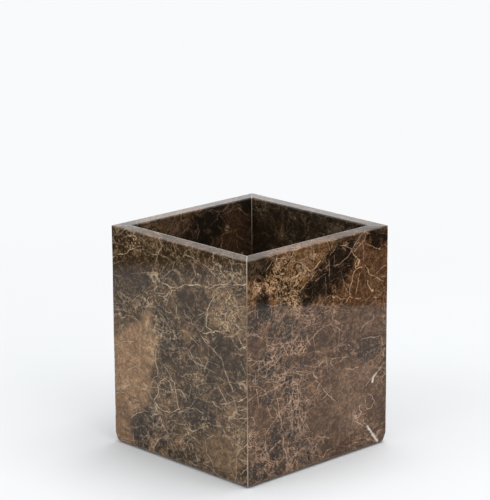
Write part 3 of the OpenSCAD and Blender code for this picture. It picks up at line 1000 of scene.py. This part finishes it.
@dataclass(frozen=True)
class CupSizes:
    """Sizes of the cup in millimetres.

    A bruise's place is a share of half the wall's length. Rows are given by how far they go and their step.
    """

    half_width: float
    thickness: float
    foot: float
    rim: float
    base_low: float
    base_top: float
    half_base: float
    setback: float
    corner_arris: float = 0.5
    corner_wander: float = 0.05
    corner_phase: float = 1.7
    corner_waves: tuple[Wave, ...] = ((9.1, 1.0), (3.7, 0.6), (1.3, 0.4))
    rim_arris: float = 0.4
    foot_arris: float = 0.9
    ease_depth: float = 1.4
    ease_height: float = 4.0
    sharp_depth: float = 0.4
    sharp_height: float = 1.5
    rounding: float = 0.22
    bruise_count: int = 9
    bruise_place: Span = (-0.93, 0.93)
    bruise_width: Span = (0.35, 0.9)
    bruise_depth: Span = (0.05, 0.30)
    rim_seed: int = 10
    foot_seed: int = 20
    halvings: int = 14
    foot_rows: Span = (2.0, 0.1)
    ease_rows: Span = (6.0, 0.25)
    rim_rows: Span = (1.0, 0.08)
    inner_rows: Span = (0.8, 0.08)
    outer_row: float = 1.1
    inner_row: float = 3.0
    rows_across: int = 12

    @classmethod
    def read(cls) -> "CupSizes":
        """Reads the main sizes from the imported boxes."""
        low, high = box_mm("front_wall")
        base_low, base_high = box_mm("base_slab")
        _, seam_high = box_mm("front_right_seam")
        half_width, thickness = -low[1], high[1] - low[1]
        setback = half_width - thickness + seam_high[1]
        return cls(half_width, thickness, low[2], high[2], base_low[2], base_high[2], base_high[0], setback)

    def corner_leg(self, height: np.ndarray, corner: Side) -> np.ndarray:
        """How far the ground flat of an upright corner reaches along a face.

        It is the setback and the arris, a slow wander of three sines, and the ease at the foot, whose depth
        across the corner falls in a straight line to nothing at its full height.
        """
        sharp = corner is Side.FRONT
        depth, reach = (self.sharp_depth, self.sharp_height) if sharp else (self.ease_depth, self.ease_height)
        up = height - self.foot
        ease = ROOT_TWO * depth * np.clip(1.0 - up / reach, 0.0, 1.0)
        phase = self.corner_phase * corner.value
        wander = sum(push * np.sin(up / length + turns * phase)
                     for turns, (length, push) in enumerate(self.corner_waves, 1))
        return self.setback + self.corner_arris + ease + self.corner_wander * wander

    def bruises(self, share: np.ndarray, seed: int) -> np.ndarray:
        """Small bruises along an edge of a wall, as extra depth of its chamfer.

        Each is a bell curve, exp(-((t - place) / width) ** 2) times its depth, and the deepest one counts.

        Args:
            share: Places along the wall, from -1 to 1.
            seed: The number that the draw starts from.

        Returns:
            The extra depth at each place.
        """
        draw = np.random.default_rng(seed)
        place, width, deep = (draw.uniform(*span, (self.bruise_count, 1))
                              for span in (self.bruise_place, self.bruise_width, self.bruise_depth))
        return (deep * np.exp(-((share - place) / (width / self.half_width)) ** 2)).max(axis=0, keepdims=True)

    def outer_depth(self, height: np.ndarray, share: np.ndarray, side: Side) -> np.ndarray:
        """Depth of the outer surface behind the flat face.

        It is the deepest of the flat face, the bruised foot and rim chamfers and the ground corners, rounded
        where they meet. A point's place along the wall depends on its depth, since the wall ends on its mitre
        planes, so the depth is found in a few halving steps.

        Args:
            height: Heights of the rows.
            share: Places along the wall, from -1 at the left end to 1 at the right.
            side: The wall.

        Returns:
            The depth at each row and place.
        """
        foot = self.foot_arris + self.bruises(share, self.foot_seed + side.value) - (height - self.foot)
        rim = self.rim_arris + self.bruises(share, self.rim_seed + side.value) - (self.rim - height)
        edge = soft_most(soft_most(foot, rim, self.rounding), np.zeros_like(foot), self.rounding)
        leg = np.where(share < 0.0, self.corner_leg(height, side.before()), self.corner_leg(height, side))
        depth = np.zeros(np.broadcast(height, share).shape)
        for _ in range(self.halvings):
            from_corner = self.half_width - np.abs(share) * (self.half_width - self.setback - depth)
            wanted = soft_most(leg - from_corner, edge, self.rounding)
            depth = 0.5 * (depth + wanted)
        return depth

    def inner_depth(self, height: np.ndarray) -> np.ndarray:
        """Depth of the inner surface, with the rim's inner chamfer."""
        rim = self.rim_arris - (self.rim - height)
        return self.thickness - soft_most(rim, np.zeros_like(rim), self.rounding)

    def rows(self) -> tuple[np.ndarray, np.ndarray]:
        """Heights of the rows of the outer and of the inner surface, closer at the foot and the rim."""
        tall = self.rim - self.foot
        (low, fine), (eased, close), (top, finest) = self.foot_rows, self.ease_rows, self.rim_rows
        outer = np.concatenate([
            np.arange(0.0, low, fine), np.arange(low, eased, close),
            np.arange(eased, tall - top, self.outer_row), tall - np.arange(0.0, top, finest)[::-1]])
        rise, fine = self.inner_rows
        return self.foot + outer[:, None], self.foot + graded(tall, fine, self.inner_row, rise)[:, None]

    def section(self, share: np.ndarray, side: Side) -> tuple[np.ndarray, np.ndarray]:
        """A wall's section at some places along it.

        The loop goes up the outer surface, in over the rim, down the inner surface and out under the foot.

        Args:
            share: Places along the wall, from -1 at the left end to 1 at the right.
            side: The wall.

        Returns:
            The depth at each row and place, and the height of each row.
        """
        outer_z, inner_z = self.rows()
        outer = self.outer_depth(outer_z, share, side)
        inner = np.broadcast_to(self.inner_depth(inner_z), (len(inner_z), share.size))
        across = np.linspace(0.0, 1.0, self.rows_across + 2)[1:-1, None]
        over = outer[-1] + across * (inner[-1] - outer[-1])
        under = inner[0] + across * (outer[0] - inner[0])
        flat = np.ones_like(across)
        return (np.concatenate([outer, over, inner[::-1], under]),
                np.concatenate([outer_z, flat * self.rim, inner_z[::-1], flat * self.foot]))


@dataclass(frozen=True)
class Piece:
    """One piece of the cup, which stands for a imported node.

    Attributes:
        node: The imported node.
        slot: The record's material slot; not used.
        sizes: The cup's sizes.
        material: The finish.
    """

    node: str
    slot: str
    sizes: CupSizes
    material: bpy.types.Material
    stuff: ClassVar[str]
    ring: ClassVar[bool] = False

    def points(self) -> np.ndarray:
        """The surface in millimetres: the rows of a closed loop, by the steps of its path."""
        raise NotImplementedError

    def build(self) -> bpy.types.Object:
        """Builds and dresses the piece.

        A path with two ends is shaded smooth and capped with flat faces. A ring is shaded flat.

        Returns:
            The piece, riding on the object's body.
        """
        points = self.points()
        rows, steps = points.shape[:2]
        faces = grid_faces(rows, steps, self.ring).tolist()
        smooth = 0 if self.ring else len(faces)
        if not self.ring:
            starts = np.arange(rows) * steps
            faces += [starts[::-1].tolist(), (starts + steps - 1).tolist()]
        name = f"{self.node}_{self.stuff}"
        mesh = bpy.data.meshes.new(name)
        mesh.from_pydata((points.reshape(-1, 3) * MM).tolist(), [], faces)
        mesh.polygons.foreach_set("use_smooth", np.arange(len(faces)) < smooth)
        work = bmesh.new()
        work.from_mesh(mesh)
        bmesh.ops.recalc_face_normals(work, faces=work.faces)
        work.to_mesh(mesh)
        work.free()
        mesh.materials.append(self.material)
        piece = linked(name, mesh)
        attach(piece, ROOT)
        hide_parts(self.node)
        LOG.info("%s: %d faces", name, len(faces))
        return piece


@dataclass(frozen=True)
class StoneWall(Piece):
    """One mitred wall slab."""

    side: Side
    fine: float = 0.0028
    coarse: float = 0.012
    ends: float = 0.05
    stuff: ClassVar[str] = "stone"

    def points(self) -> np.ndarray:
        """The wall's section, carried along it between the mitre planes.

        At depth w and share t of the way along, a point lies at x = t * (half width - setback - w).
        """
        sizes = self.sizes
        share = graded(2.0, self.fine, self.coarse, self.ends)[None, :] - 1.0
        depth, height = sizes.section(share, self.side)
        along = share * (sizes.half_width - sizes.setback - depth)
        return turned(gridded(along, depth - sizes.half_width, height), 90.0 * self.side.value)


@dataclass(frozen=True)
class CornerSeam(Piece):
    """The resin in the mitre at the right end of a wall."""

    side: Side
    proud: float = 0.02
    steps: int = 7
    stuff: ClassVar[str] = "resin"

    def points(self) -> np.ndarray:
        """The seam's outline in the mitre plane, carried across its thickness.

        A wall's end at depth w lies (2 * half width - setback - 2 * w) / sqrt 2 from the axis. Across the
        seam the outside swells by proud times (1 - s * s), with s from -1 to 1.
        """
        sizes = self.sizes
        depth, height = sizes.section(np.ones((1, 1)), self.side)
        reach = (2.0 * sizes.half_width - sizes.setback - 2.0 * depth) / ROOT_TWO
        step = np.linspace(-1.0, 1.0, self.steps)[None, :]
        outside = np.arange(len(depth))[:, None] < len(sizes.rows()[0])
        swell = self.proud * outside * (1.0 - step ** 2)
        spread = step * sizes.setback / ROOT_TWO
        return turned(gridded(reach + swell, spread, height), 90.0 * self.side.value - 45.0)


@dataclass(frozen=True)
class BaseSlab(Piece):
    """The stone floor between the walls."""

    arris: float = 0.3
    round_steps: int = 7
    inner_steps: int = 30
    stuff: ClassVar[str] = "stone"

    def points(self) -> np.ndarray:
        """A rounded rectangle carried along x, drawn in by the arris at both ends.

        The rectangle's corners and the ends follow quarter rounds.
        """
        low, top, half = self.sizes.base_low, self.sizes.base_top, self.sizes.half_base
        quarter = np.linspace(0.0, QUARTER_TURN, self.round_steps)
        turn = (quarter + QUARTER_TURN * np.arange(4)[:, None]).reshape(-1, 1)
        corners = np.repeat([(1, 1), (-1, 1), (-1, -1), (1, -1)], self.round_steps, axis=0)
        end = self.arris * (1.0 - np.cos(quarter))
        between = np.linspace(1.0 - half, half - 1.0, self.inner_steps)
        x = np.concatenate([end - half, between, (half - end)[::-1]])
        rise = np.sin(quarter)
        grown = self.arris * np.concatenate([rise, np.ones_like(between), rise[::-1]])
        y = corners[:, :1] * (half - self.arris) + np.cos(turn) * grown
        z = 0.5 * (top + low) + corners[:, 1:] * (0.5 * (top - low) - self.arris) + np.sin(turn) * grown
        return gridded(x, y, z)


@dataclass(frozen=True)
class BaseSeam(Piece):
    """The ring of resin round the base, with a small cove up the walls."""

    cove: float = 0.5
    sunk: float = 0.02
    hollow_steps: int = 6
    side_steps: int = 24
    stuff: ClassVar[str] = "resin"
    ring: ClassVar[bool] = True

    def points(self) -> np.ndarray:
        """A narrow section carried round the square between the base and the walls.

        The section goes up the wall to the top of the cove, down its hollow to the floor, and down the base.
        On the square, a point at distance d from the axis is d times the unit square's outline.
        """
        low, top, half = self.sizes.base_low, self.sizes.base_top, self.sizes.half_base
        wall = self.sizes.half_width - self.sizes.thickness
        bow = np.sin(np.linspace(0.0, QUARTER_TURN, self.hollow_steps))
        hollow = np.stack([wall - self.cove * bow, top + self.cove * (1.0 - bow[::-1])], axis=-1)
        section = np.concatenate([[(wall, low), (wall, 0.5 * (low + top))], hollow,
                                  [(half, top - self.sunk), (half, low)]])
        run = np.linspace(-1.0, 1.0, self.side_steps + 1)[:-1]
        one = np.ones_like(run)
        out, height = section[:, :1], section[:, 1:]
        x = out * np.concatenate([one, -run, -one, run])
        y = out * np.concatenate([run, one, -run, -one])
        return gridded(x, y, height)


@dataclass(frozen=True)
class FeltPad(Piece):
    """One round felt pad under the base."""

    bulge: float = 0.35
    rings: tuple[float, ...] = (0.25, 0.5, 0.75, 0.9)
    edge_steps: int = 13
    round_steps: int = 96
    stuff: ClassVar[str] = "felt"

    def points(self) -> np.ndarray:
        """A soft-edged section turned about the pad's middle.

        The edge bulges as a half round squeezed to the pad's thickness, and its radius wanders by two sines.
        """
        low, high = box_mm(self.node)
        middle, half = 0.5 * (low + high), 0.5 * (high - low)
        turn = np.linspace(-QUARTER_TURN, QUARTER_TURN, self.edge_steps)
        inward = np.array(self.rings)
        edge = half[0] - self.bulge * (1.0 - np.cos(turn))
        out = np.concatenate([inward * edge[0], edge, (inward * edge[-1])[::-1]])
        up = np.concatenate([-np.ones_like(inward), np.sin(turn), np.ones_like(inward)]) * half[2]
        around = np.linspace(0.0, 2.0 * math.pi, self.round_steps + 1)[:-1, None]
        fray = 1.0 - 0.006 * (1.0 + np.sin(23.0 * around)) - 0.004 * (1.0 + np.sin(41.0 * around + 1.0))
        x, y = (centre + out * (fray * wave(around)) for centre, wave in zip(middle, (np.cos, np.sin)))
        return gridded(x, y, middle[2] + up)


# Studio

def direction(azimuth: float, elevation: float) -> Vector:
    """The way out from the cup at these angles in degrees. At azimuth 0 it leaves the front wall squarely."""
    turn, tilt = math.radians(azimuth), math.radians(elevation)
    return Vector((math.sin(turn) * math.cos(tilt), -math.cos(turn) * math.cos(tilt), math.sin(tilt)))


def above(height: float) -> Vector:
    """The place at that height on the cup's axis."""
    return Vector((0.0, 0.0, height))


@dataclass(frozen=True)
class PhotoCamera:
    """The camera, fitted to the corners of the cup. Angles in degrees, lengths in metres."""

    azimuth: float = 46.303
    elevation: float = 14.868
    roll: float = -0.302
    distance: float = 1.0382
    focal_pixels: float = 2315.8
    image_height: float = 500.0
    sensor_mm: float = 36.0
    aim_right: float = -0.00209
    aim_height: float = 0.09058

    def right(self) -> Vector:
        """The level direction to the camera's right."""
        turn = math.radians(self.azimuth)
        return Vector((math.cos(turn), math.sin(turn), 0.0))

    def place(self) -> bpy.types.Object:
        """Makes the scene's camera."""
        right, ahead = self.right(), -direction(self.azimuth, self.elevation)
        up = right.cross(ahead)
        lean = math.radians(self.roll)
        level = right * math.cos(lean) + up * math.sin(lean)
        upright = up * math.cos(lean) - right * math.sin(lean)
        data = bpy.data.cameras.new("photo_camera")
        data.sensor_fit = "VERTICAL"
        data.sensor_height = self.sensor_mm
        data.lens = self.sensor_mm * self.focal_pixels / self.image_height
        camera = linked("photo_camera", data)
        camera.matrix_world = Matrix((level, upright, -ahead)).transposed().to_4x4()
        camera.location = right * self.aim_right + above(self.aim_height) - ahead * self.distance
        bpy.context.scene.camera = camera
        return camera


@dataclass(frozen=True)
class SoftBox:
    """One square soft light, aimed at the cup. Angles as the camera's, lengths in metres."""

    name: str
    azimuth: float
    elevation: float
    distance: float
    width: float
    watts: float
    aim_height: float = 0.05

    def place(self) -> bpy.types.Object:
        """Makes the light."""
        towards = direction(self.azimuth, self.elevation)
        data = bpy.data.lights.new(self.name, "AREA")
        data.size = self.width
        data.energy = self.watts
        light = linked(self.name, data)
        light.rotation_euler = towards.to_track_quat("Z", "Y").to_euler()
        light.location = towards * self.distance + above(self.aim_height)
        return light


@dataclass(frozen=True)
class DarkCard:
    """A card that only reflections see. It starts at its near edge, where it fades in from white."""

    name: str
    near: float
    fade: float
    shade: Colour = (0.13, 0.10, 0.07)


@dataclass(frozen=True)
class Studio:
    """A pale sheet that fades into a white room, soft boxes, and dark cards that only reflections see.

    Lengths are in metres. A side card starts that far to the camera's right, and the back card that high.
    """

    camera: PhotoCamera
    sheet_colour: Colour = (0.785, 0.796, 0.804)
    white: Colour = (0.945, 0.955, 0.965)
    sky: Colour = (0.96, 0.98, 1.0)
    sky_light: float = 0.60
    sheet_fade: Span = (0.14, 0.42)
    sheet_drop: float = 0.0001
    side_cards: tuple[DarkCard, ...] = (
        DarkCard("card_right", 0.281, 0.003), DarkCard("card_left", -0.340, 0.045))
    card_width: float = 1.2
    card_reach: float = 2.0
    card_lift: float = 0.0005
    back_card: DarkCard = DarkCard("card_back", 0.250, 0.01, (0.50, 0.47, 0.45))
    back_top: float = 0.5
    back_half: float = 0.5
    back_away: float = 0.6
    lights: tuple[SoftBox, ...] = (
        SoftBox("top_box", 178.0, 78.0, 1.1, 0.7, 6.0), SoftBox("right_box", 92.0, 46.0, 1.2, 1.0, 4.0),
        SoftBox("left_box", -10.0, 38.0, 1.2, 0.8, 3.0))

    def flat_thing(self, name: str, points: Sequence[Sequence[float]], faces: Sequence[Sequence[int]],
                   material: bpy.types.Material) -> bpy.types.Object:
        """Makes a thing of the studio, which isn't part of the object, from points in metres."""
        mesh = bpy.data.meshes.new(name)
        mesh.from_pydata(points, [], faces)
        mesh.materials.append(material)
        thing = linked(name, mesh)
        return thing

    def floor(self) -> None:
        """A flat disc: rings of growing radius, each a circle."""
        ring = np.concatenate([np.linspace(0.02, 0.6, 20), np.linspace(0.75, 3.5, 12)])[None, :]
        turn = np.linspace(0.0, 2.0 * math.pi, 97)[:-1, None]
        points = gridded(ring * np.cos(turn), ring * np.sin(turn), np.array(-self.sheet_drop))
        rows, steps = points.shape[:2]
        faces = grid_faces(rows, steps).tolist() + [list(range(0, rows * steps, steps))]
        self.flat_thing("studio_floor", points.reshape(-1, 3).tolist(), faces, self.floor_material())

    def floor_material(self) -> bpy.types.Material:
        """White paper that keeps the shadow near the cup and turns to the room's white further out."""
        material, sheet = new_sheet("white_sheet")
        far = sheet.vector("LENGTH", sheet.at(), output=1).band(*self.sheet_fade)
        paper = sheet.node("ShaderNodeBsdfDiffuse", {}, {"Color": (*self.sheet_colour, 1.0)})
        glow = sheet.glow((*self.white, 1.0))
        sheet.end(sheet.node("ShaderNodeMixShader", {}, {0: far * sheet.seen(), 1: paper, 2: glow}))
        return material

    def cards(self) -> None:
        """Lays a card on the floor on both sides, as the camera sees it, and one upright behind the cup."""
        right = self.camera.right()
        back = Vector((-right.y, right.x, 0.0))
        for card in self.side_cards:
            far = card.near + math.copysign(self.card_width, card.near)
            outline = ((card.near, -self.card_reach), (far, -self.card_reach),
                       (far, self.card_reach), (card.near, self.card_reach))
            self.card(card, [right * across + back * run + above(self.card_lift) for across, run in outline])
        half, low, top, away = self.back_half, self.back_card.near, self.back_top, back * self.back_away
        outline = ((-half, low), (-half, top), (half, top), (half, low))
        self.card(self.back_card, [right * across + away + above(height) for across, height in outline])

    def card(self, card: DarkCard, corners: Sequence[Vector]) -> None:
        """Makes a card whose near edge runs from its last corner to its first."""
        material, sheet = new_sheet(card.name)
        across = (corners[1] - corners[0]).normalized()
        from_edge = sheet.vector("DOT_PRODUCT", sheet.at(), across, output=1) - corners[0].dot(across)
        sheet.end(sheet.glow(sheet.mix(from_edge.band(0.0, card.fade), self.white, card.shade)))
        made = self.flat_thing(card.name, [tuple(corner) for corner in corners], [[0, 1, 2, 3]], material)
        made.visible_camera = made.visible_diffuse = made.visible_shadow = made.visible_transmission = False

    def room(self) -> None:
        """A white room, dimmer as a light than as a background."""
        world = bpy.data.worlds.new("white_room")
        world.use_nodes = True
        sheet = NodeSheet(world.node_tree)
        light, shown = (
            sheet.node("ShaderNodeBackground", {}, {"Color": (*colour, 1.0), "Strength": strength})
            for colour, strength in ((self.sky, self.sky_light), (self.white, 1.0)))
        sheet.end(sheet.node("ShaderNodeMixShader", {}, {0: sheet.seen(), 1: light, 2: shown}), "World")
        bpy.context.scene.world = world

    def set_up(self) -> None:
        """Builds the studio."""
        self.camera.place()
        self.floor()
        self.cards()
        self.room()
        for light in self.lights:
            light.place()
        bpy.context.scene.view_settings.view_transform = "Standard"


def main() -> None:
    """Builds the cup piece by piece, then the studio."""
    logging.basicConfig(level=logging.INFO, format="%(name)s: %(message)s")
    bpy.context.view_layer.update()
    sizes = CupSizes.read()
    LOG.info("sizes: %s", sizes)
    front = MarbleFinish("grey_brown_front", GREY_BROWN, FRONT_PATTERN, 0, sizes.half_width, 11.0, sizes.rim,
                         sandy=0.15)
    right = replace(front, name="red_brown_right", palette=RED_BROWN, pattern=RIGHT_PATTERN, quarter=1,
                    seed=37.0, curly=0.6)
    back = replace(front, name="grey_brown_back", quarter=2, seed=83.0, mirrored=True, wander=2.5, sandy=0.12)
    left = replace(right, name="red_brown_left", quarter=3, seed=59.0, mirrored=True, wander=2.5)
    base = MarbleFinish("red_brown_base", RED_BROWN, PLAIN_PATTERN, 0, sizes.half_width, 5.0, sizes.rim,
                        polish=0.35, honed=0.35)
    slots = {GREY_BROWN: "grey_brown_marble", RED_BROWN: "red_brown_marble"}
    resin = ResinFinish().dress()
    felt = FeltFinish().dress()
    for side, finish in zip(Side, (front, right, back, left)):
        StoneWall(f"{side.name.lower()}_wall", slots[finish.palette], sizes, finish.dress(), side).build()
        CornerSeam(f"{side.corner()}_seam", "resin", sizes, resin, side).build()
    BaseSlab("base_slab", slots[base.palette], sizes, base.dress()).build()
    BaseSeam("base_seam", "resin", sizes, resin).build()
    for side in Side:
        FeltPad(f"{side.corner()}_pad", "felt", sizes, felt).build()
    Studio(PhotoCamera()).set_up()


if __name__ == "__main__":
    main()
